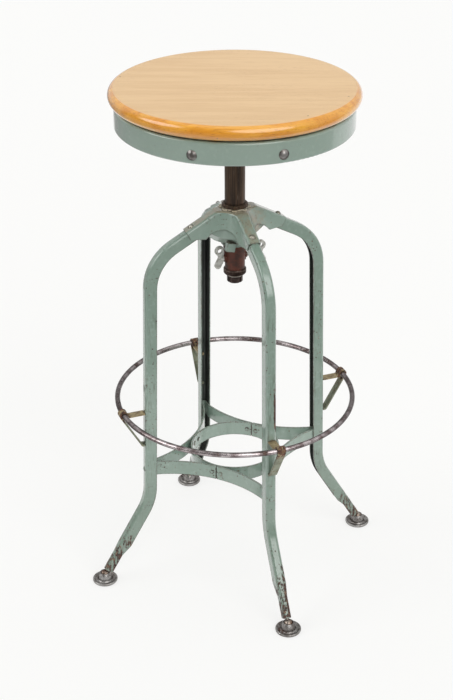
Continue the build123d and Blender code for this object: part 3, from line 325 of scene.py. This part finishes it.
def post_steel(name):
    """Dark oxidised tube: long vertical streaks, light rub marks that also paint streak highlights, redder
    below the hub.
    """
    g = Graph(name)
    streaks = g.noise(1.0, 4, 0.6, g.stretch((420, 420, 9)))
    rubs_and_sheen = g.noise(1.0, 3, 0.6, g.stretch((650, 650, 45)))
    patches = g.noise(55, 4, 0.6)
    low = g.rise(g.parts(g.place)[2], HUB_TOP, HUB_TOP - 40 * MM)
    colour = g.blend(g.rise(streaks, 0.35, 0.65), TUBE_BROWN, TUBE_DARK)
    # Light vertical streaks: rub marks and painted streak highlights.
    colour = g.blend(g.product(g.rise(rubs_and_sheen, 0.60, 0.72), 0.6), colour, TUBE_RUB_SHEEN)
    red = g.blend(g.rise(patches, 0.4, 0.6), TUBE_RED, TUBE_RED_DARK)
    colour = g.blend(low, colour, red)
    roughness = g.scale(patches, 0.32, 0.6)
    bump = g.relief(streaks, 0.06 * MM)
    return g.surface(colour, roughness, g.scale(low, 0.55, 0.1), bump)


def old_steel(name, light, dark, rust_share, roughness=0.35, metallic=0.85, seam=4 * MM, rim=(0.35, 0.95)):
    """Bare steel with tarnish, fine scratches and brown rust patches, and painted shade, dark as rust, in
    corners and seams and at the rim that turns away from the eye.
    """
    g = Graph(name)
    tone = g.noise(70, 4, 0.6)
    scratches = g.noise(1.0, 2, 0.5, g.stretch((900, 900, 120)))
    patches = g.rise(g.noise(26, 5, 0.62), 1.0 - rust_share, 1.06 - rust_share)
    spots = g.specks(330, 0.2, 0.18)
    rust = g.most(g.product(patches, g.rise(g.noise(320, 3), 0.35, 0.55)), g.product(spots, 0.8))
    colour = g.blend(g.rise(tone, 0.35, 0.65), light, dark)
    # Painted shade with dark rust in corners and seams.
    colour = g.blend(g.product(g.corners(seam), 0.85), colour, RUST_DARK)
    bare = g.blend(g.rise(g.noise(210, 4), 0.4, 0.6), RUST, RUST_DARK)
    colour = g.blend(rust, colour, bare)
    # Painted shade: darker where the surface turns away from the eye.
    colour = g.blend(g.product(g.rim(*rim), 0.85), colour, METAL_RIM_SHADE)
    rough = g.math("ADD", g.scale(scratches, roughness - 0.08, roughness + 0.12), g.product(rust, 0.4))
    bump = g.relief(g.math("ADD", scratches, g.product(rust, 1.5)), 0.04 * MM)
    return g.surface(colour, rough, g.scale(rust, metallic, 0.1), bump)


def bracket_metal(name):
    """Flat bar: tan tarnish on the upper arm, rust on the hook, thin old paint on the stay."""
    g = Graph(name)
    z = g.parts(g.place)[2]
    tone = g.noise(80, 4, 0.6)
    patches = g.noise(190, 5, 0.65)
    bar = g.blend(g.rise(tone, 0.38, 0.62), BAR_TAN, BAR_BROWN)
    stay = g.rise(z, RING_LOW.z - 4 * MM, RING_LOW.z - 12 * MM)
    paint = g.blend(g.rise(tone, 0.4, 0.6), STAY_PAINT, STAY_PAINT_DEEP)
    colour = g.blend(g.product(stay, g.rise(patches, 0.7, 0.5)), bar, paint)
    hook = g.product(g.rise(g.radius(), RING_HIGH.x - 16 * MM, RING_HIGH.x - 11 * MM),
                     g.rise(z, RING_LOW.z - 10 * MM, RING_LOW.z - 2 * MM))
    rust = g.rise(g.math("ADD", patches, g.product(hook, 0.16)), 0.58, 0.66)
    bare = g.blend(g.rise(g.noise(260, 4), 0.4, 0.6), BAR_RUST, RUST_DARK)
    colour = g.blend(rust, colour, bare)
    # Dark edges, and dirt with painted shade in the corners.
    dirt = g.most(g.product(g.corners(3 * MM), 0.9), g.product(g.edges(0.8 * MM), 0.7))
    colour = g.blend(dirt, colour, RUST_DARK)
    bump = g.relief(patches, 0.1 * MM)
    return g.surface(colour, g.scale(rust, 0.42, 0.75), g.scale(rust, 0.35, 0.05), bump)


def cast_metal(name):
    """Pale grey casting with a grainy skin, and dirt with painted shade in its hollows."""
    g = Graph(name)
    skin = g.noise(900, 3, 0.6)
    colour = g.blend(g.rise(g.noise(160, 4), 0.4, 0.65), CASTING, CASTING_DEEP)
    # Dirt with painted shade in the hollows.
    colour = g.blend(g.product(g.corners(5 * MM), 0.85), colour, CASTING_DIRT_SHADE)
    colour = g.blend(g.product(g.rise(skin, 0.58, 0.68), 0.5), colour, CASTING_PIT)
    return g.surface(colour, g.scale(skin, 0.36, 0.6), 0.3, g.relief(skin, 0.08 * MM))


# ---------------------------------------------------------------- assignment


def wear(material, *nodes):
    """Give a material to CAD nodes."""
    for node in nodes:
        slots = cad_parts[node].material_slots
        for slot in slots:
            slot.material = material


def each(prefix):
    """The names of the four nodes, one on each side, that share a prefix."""
    return [f"{prefix}_{side}" for side in SIDES]


def dress():
    """Every CAD node gets its material."""
    wear(wood("seat_wood"), "seat_board")
    wear(enamel("pan_enamel", 0.5, 0.3, seam=1.5 * MM), "seat_pan", "seat_spider", "seat_socket")
    wear(enamel("leg_enamel", streaks=0.75, rust_at=leg_rust, painted_shade_at=leg_inside_shade), *each("leg"))
    wear(enamel("hub_enamel", 0.4, 0.7, seam=5 * MM, grime_at=hub_grime), "hub_upper", "hub_lower",
         "sleeve_nut")
    wear(enamel("brace_enamel", 0.2, seam=2 * MM), *each("brace_strap"), "brace_hoop", "brace_leg_rivets",
         "brace_hoop_rivets")
    wear(post_steel("post_steel"), "post_tube", "guide_sleeve")
    plain = old_steel("bare_steel", shade(172, 170, 168), shade(108, 102, 98), 0.42, rim=(0.2, 0.62))
    wear(plain, "pan_bolts", "pan_nuts", "board_screws", "socket_rivets", "spindle", "spindle_pin",
         "spindle_washer", "thrust_washer", "clamp_shoe_left", "clamp_shoe_right")
    wear(old_steel("collar_steel", shade(116, 100, 92), shade(62, 48, 42), 0.5), "stop_collar")
    wear(old_steel("nut_steel", shade(84, 72, 68), shade(48, 38, 35), 0.5), "spindle_nut")
    wear(old_steel("petal_steel", shade(222, 212, 192), shade(190, 174, 148), 0.3, 0.35, 0.3, 1.2 * MM),
         "crimp_ring")
    wear(old_steel("rivet_steel", shade(206, 202, 190), shade(146, 138, 122), 0.3, 0.35, 0.5, 2.5 * MM,
                   (0.2, 0.66)), "hub_rivets")
    wear(old_steel("ring_steel", shade(214, 204, 206), shade(128, 112, 112), 0.46, 0.24, 0.9,
                   rim=(0.12, 0.62)), "foot_ring")
    wear(bracket_metal("bracket_steel"), *each("ring_bracket"))
    wear(old_steel("glide_steel", shade(170, 168, 166), shade(112, 106, 102), 0.46), *each("glide"))
    wear(old_steel("stud_steel", shade(170, 160, 150), shade(110, 84, 66), 0.5), *each("ball_stud"))
    wear(old_steel("bush_steel", shade(214, 204, 190), shade(160, 146, 128), 0.3), "upper_bush",
         "lower_bush")
    wear(cast_metal("cast_grey"), "wing_screw_left", "wing_screw_right")


# ---------------------------------------------------------------- studio


def direction(azimuth, elevation):
    """Unit vector from the object towards an azimuth (0 is -Y, as the camera counts) and elevation."""
    a = radians(azimuth)
    e = radians(elevation)
    return (sin(a) * cos(e), -cos(a) * cos(e), sin(e))


# Soft boxes: azimuth, elevation, half width in degrees, brightness
SOFT_BOXES = ((-98, 32, 18, 3.4), (6, 36, 25, 3.0), (-20, 86, 30, 0.25))
ROOM = 0.14
BACKDROP = 0.72
# The lit wall behind the object: turn from straight behind it, elevation, half width in degrees
BACK_WALL = (-24, 10, 88)
SOFT_EDGE = 5


def studio_world():
    """A dim room with soft boxes. The camera sees one pale backdrop from every side."""
    world = bpy.data.worlds.new("studio")
    world.use_nodes = True
    tree = world.node_tree
    tree.nodes.clear()
    ray = tree.nodes.new("ShaderNodeTexCoord").outputs["Generated"]

    def cap(towards, half, soft):
        """1 inside a round patch of sky, 0 outside."""
        dot = tree.nodes.new("ShaderNodeVectorMath")
        dot.operation = "DOT_PRODUCT"
        tree.links.new(ray, dot.inputs[0])
        dot.inputs[1].default_value = towards
        edge = tree.nodes.new("ShaderNodeMapRange")
        edge.interpolation_type = "SMOOTHSTEP"
        tree.links.new(dot.outputs["Value"], edge.inputs["Value"])
        edge.inputs["From Min"].default_value = cos(radians(half + soft))
        edge.inputs["From Max"].default_value = cos(radians(half - soft))
        return edge.outputs[0]

    def plus(total, share, amount):
        """The total with an amount of a share added to it."""
        node = tree.nodes.new("ShaderNodeMath")
        node.operation = "MULTIPLY_ADD"
        tree.links.new(share, node.inputs[0])
        node.inputs[1].default_value = amount
        if isinstance(total, float):
            node.inputs[2].default_value = total
        else:
            tree.links.new(total, node.inputs[2])
        return node.outputs[0]

    turn, height, half_width = BACK_WALL
    back = cap(direction(degrees(VIEW_AZIMUTH) + 180 + turn, height), half_width, SOFT_EDGE)
    light = plus(ROOM, back, BACKDROP - ROOM)
    for azimuth, elevation, half, brightness in SOFT_BOXES:
        light = plus(light, cap(direction(azimuth, elevation), half, SOFT_EDGE), brightness)
    seen = plus(0.0, tree.nodes.new("ShaderNodeLightPath").outputs["Is Camera Ray"], BACKDROP)
    shown = tree.nodes.new("ShaderNodeMath")
    shown.operation = "MAXIMUM"
    tree.links.new(light, shown.inputs[0])
    tree.links.new(seen, shown.inputs[1])
    shader = tree.nodes.new("ShaderNodeBackground")
    tree.links.new(shown.outputs[0], shader.inputs["Strength"])
    shader.inputs["Color"].default_value = (1.0, 1.0, 0.99, 1.0)
    out = tree.nodes.new("ShaderNodeOutputWorld")
    tree.links.new(shader.outputs[0], out.inputs["Surface"])
    bpy.context.scene.world = world


FLOOR_HALF = 14.0
FLOOR_GLOW = 1.03
# The lit paper ends this far in front of the post and to its left; its front edge is askew.
PAPER_FRONT = -0.75
PAPER_SKEW = 0.55
PAPER_LEFT = -0.9
PAPER_DIM = 0.22
PAPER_EDGE = 0.08
GLOW_SHARE = 0.7


def studio_floor():
    """A plain pale floor that glows a little, so that it stays even and its shadows stay soft."""
    mesh = bpy.data.meshes.new("floor")
    h = FLOOR_HALF
    mesh.from_pydata([(-h, -h, 0), (h, -h, 0), (h, h, 0), (-h, h, 0)], [], [(0, 1, 2, 3)])
    floor = bpy.data.objects.new("floor", mesh)
    bpy.context.scene.collection.objects.link(floor)
    g = Graph("floor_paper")
    matte = g.add("ShaderNodeBsdfDiffuse", {"Color": (0.80, 0.80, 0.79, 1)}).outputs[0]
    c, s = cos(VIEW_AZIMUTH), sin(VIEW_AZIMUTH)
    ahead = g.along((-s - PAPER_SKEW * c, c - PAPER_SKEW * s, 0))
    front = g.rise(ahead, PAPER_FRONT - PAPER_EDGE, PAPER_FRONT + PAPER_EDGE)
    left = g.rise(g.along((c, s, 0)), PAPER_LEFT - PAPER_EDGE, PAPER_LEFT + PAPER_EDGE)
    lit = g.scale(g.product(front, left), PAPER_DIM, 1.0)
    seen = g.add("ShaderNodeLightPath").outputs["Is Camera Ray"]
    strength = g.product(FLOOR_GLOW, g.most(lit, seen))
    glow = g.add("ShaderNodeEmission", {"Color": (1, 1, 0.99, 1), "Strength": strength}).outputs[0]
    both = g.add("ShaderNodeMixShader", {0: GLOW_SHARE, 1: matte, 2: glow}).outputs[0]
    g.add("ShaderNodeOutputMaterial", {"Surface": both})
    mesh.materials.append(g.material)


def camera():
    """The camera at the chosen viewpoint, aimed at the post axis."""
    lens = bpy.data.cameras.new("camera")
    lens.lens = LENS
    lens.shift_x, lens.shift_y = LENS_SHIFT
    eye = bpy.data.objects.new("camera", lens)
    bpy.context.scene.collection.objects.link(eye)
    back = Vector(direction(degrees(VIEW_AZIMUTH), degrees(VIEW_ELEVATION)))
    eye.location = Vector((0, 0, VIEW_HEIGHT)) + VIEW_DISTANCE * back
    eye.rotation_euler = (-back).to_track_quat("-Z", "Y").to_euler()
    bpy.context.scene.camera = eye


dress()
studio_world()
studio_floor()
camera()
bpy.context.scene.view_settings.view_transform = "Standard"
